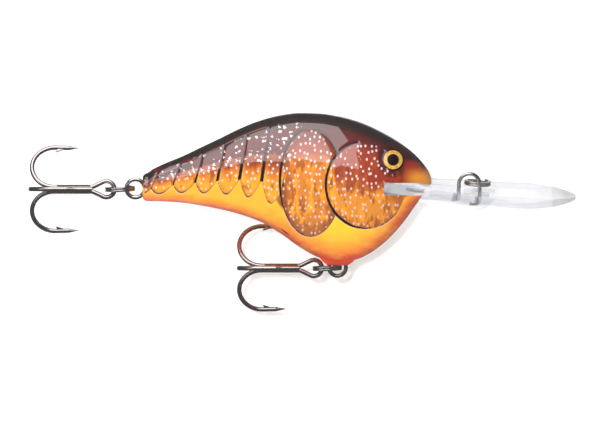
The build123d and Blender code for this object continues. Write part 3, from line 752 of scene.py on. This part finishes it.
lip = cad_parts["diving_lip"]
bv = lip.modifiers.new("soft_rims", "BEVEL")
bv.width = 0.00026
bv.segments = 2
bv.limit_method = "ANGLE"
bv.angle_limit = math.radians(50)
bv.use_clamp_overlap = True
bv.harden_normals = False

# ---------------------------------------------------------------- stage
def stage_sheet():
    """A pale sheet that stands behind the lure, square to the camera, and rolls onto a floor."""
    up = np.array([SE * 0 + 0.0, SE, CE])
    back = np.array([0.0, 30.0 * CE, -30.0 * SE])
    o = np.array([-35.25, 0.0, -6.02]) + back
    path = []
    for t in np.linspace(420, -46, 10):
        path.append(o + up * t)
    end = path[-1]
    # roll to the floor
    r = 14.0
    c = end + np.array([0, -CE, SE]) * r
    for k in range(1, 17):
        a = k / 16 * (math.pi / 2 - ELEV)
        d = np.array([0, CE, -SE]) * math.cos(a) + np.array([0, -SE, -CE]) * math.sin(a)
        path.append(c + d * r)
    low = path[-1]
    for t in np.linspace(30, 700, 8):
        path.append(low + np.array([0, -t, 0.0]))
    xs = np.linspace(-520, 450, 12)
    verts = [(x * MM, p[1] * MM, p[2] * MM) for p in path for x in xs]
    nx = len(xs)
    faces = []
    for i in range(len(path) - 1):
        for j in range(nx - 1):
            faces.append((i * nx + j, (i + 1) * nx + j, (i + 1) * nx + j + 1, i * nx + j + 1))
    ob = new_mesh("studio_sheet", verts, faces)
    print("floor z", low[2], "y", low[1])
    N = Nodes("sheet_paper")
    n = N.noise(N.coord(), 12.0, 2.0)
    N.put(Base_Color=N.mix(n, rgba(247, 248, 248), rgba(250, 250, 250)), Roughness=0.9, Specular_IOR_Level=0.1)
    geo = N.n("ShaderNodeNewGeometry")
    tr = N.n("ShaderNodeBsdfTransparent")
    mx = N.n("ShaderNodeMixShader")
    lp = N.n("ShaderNodeLightPath")
    N.link(N.math("MAXIMUM", geo.outputs["Backfacing"], lp.outputs["Is Glossy Ray"]), mx.inputs[0])
    N.link(N.p.outputs[0], mx.inputs[1])
    N.link(tr.outputs[0], mx.inputs[2])
    N.link(mx.outputs[0], N.out.inputs["Surface"])
    ob.data.materials.append(N.m)
    return ob


sheet = stage_sheet()
# make the sheet face the camera
me = sheet.data
if me.polygons[0].normal.y > 0:
    bm = bmesh.new(); bm.from_mesh(me); bmesh.ops.reverse_faces(bm, faces=bm.faces); bm.to_mesh(me); bm.free()


def area(name, centre, towards, sx, sy, watts, colour=(1, 1, 1), roll_x=True):
    ld = bpy.data.lights.new(name, "AREA")
    ld.shape = "RECTANGLE"
    ld.size, ld.size_y = sx, sy
    ld.energy = watts
    ld.color = colour
    ob = bpy.data.objects.new(name, ld)
    scene.collection.objects.link(ob)
    ob.location = centre
    d = (Vector(towards) - Vector(centre)).normalized()
    z = -d
    x = Vector((1, 0, 0))
    x = (x - z * x.dot(z)).normalized()
    y = z.cross(x)
    from mathutils import Matrix
    ob.matrix_world = Matrix(((x.x, y.x, z.x, centre[0]), (x.y, y.y, z.y, centre[1]), (x.z, y.z, z.z, centre[2]), (0, 0, 0, 1)))
    return ob


C = Vector((-0.03525, 0.0, 0.0))
ang = math.radians(29.7)
mid = Vector((0, -math.sin(ang), math.cos(ang)))
D = 0.30
soft = area("softbox", tuple(C + mid * D + Vector((-0.082, 0, 0))), tuple(C + Vector((-0.082, 0, 0))), 0.336, 2 * D * math.tan(math.radians(36.7)), 1.15)
# a small lamp near the camera, up and to the left, gives the drop shadow
fl = Vector((-0.052, -1.15, 0.257))
front = area("front_lamp", tuple(C + fl), tuple(C), 0.05, 0.05, 7.6)
front.visible_glossy = False
back = area("back_card", (0.002, 0.492, 0.091), (0.002, 0, 0), 0.2, 0.13, 0.075)
back.visible_diffuse = False
left = area("left_fill", (-0.42, -0.25, 0.05), (-0.04, 0, 0), 0.25, 0.35, 0.2)

world = bpy.data.worlds.new("studio")
scene.world = world
world.use_nodes = True
wt = world.node_tree
wt.nodes.clear()
wo = wt.nodes.new("ShaderNodeOutputWorld")
lp = wt.nodes.new("ShaderNodeLightPath")


def sky(v):
    n = wt.nodes.new("ShaderNodeBackground")
    n.inputs[0].default_value = v
    n.inputs[1].default_value = 1.0
    return n.outputs[0]


def over(flag, a, b):
    m = wt.nodes.new("ShaderNodeMixShader")
    wt.links.new(lp.outputs[flag], m.inputs[0])
    wt.links.new(a, m.inputs[1])
    wt.links.new(b, m.inputs[2])
    return m.outputs[0]


room = over("Is Glossy Ray", sky((0.15, 0.15, 0.15, 1)), sky((0.13, 0.13, 0.133, 1)))
room = over("Is Transmission Ray", room, sky((0.85, 0.85, 0.87, 1)))
room = over("Is Camera Ray", room, sky((1, 1, 1, 1)))
wt.links.new(room, wo.inputs[0])

# ---------------------------------------------------------------- camera
cd = bpy.data.cameras.new("camera")
cam = bpy.data.objects.new("camera", cd)
scene.collection.objects.link(cam)
cd.sensor_width = 36
cd.lens = 432
cd.clip_start, cd.clip_end = 0.05, 10
target = Vector((-0.03525, 0.0, -0.00602))
cam.location = target + Vector((0, -CE, SE)) * 1.5
cam.rotation_euler = (math.radians(90 - 10.6), 0, 0)
scene.camera = cam
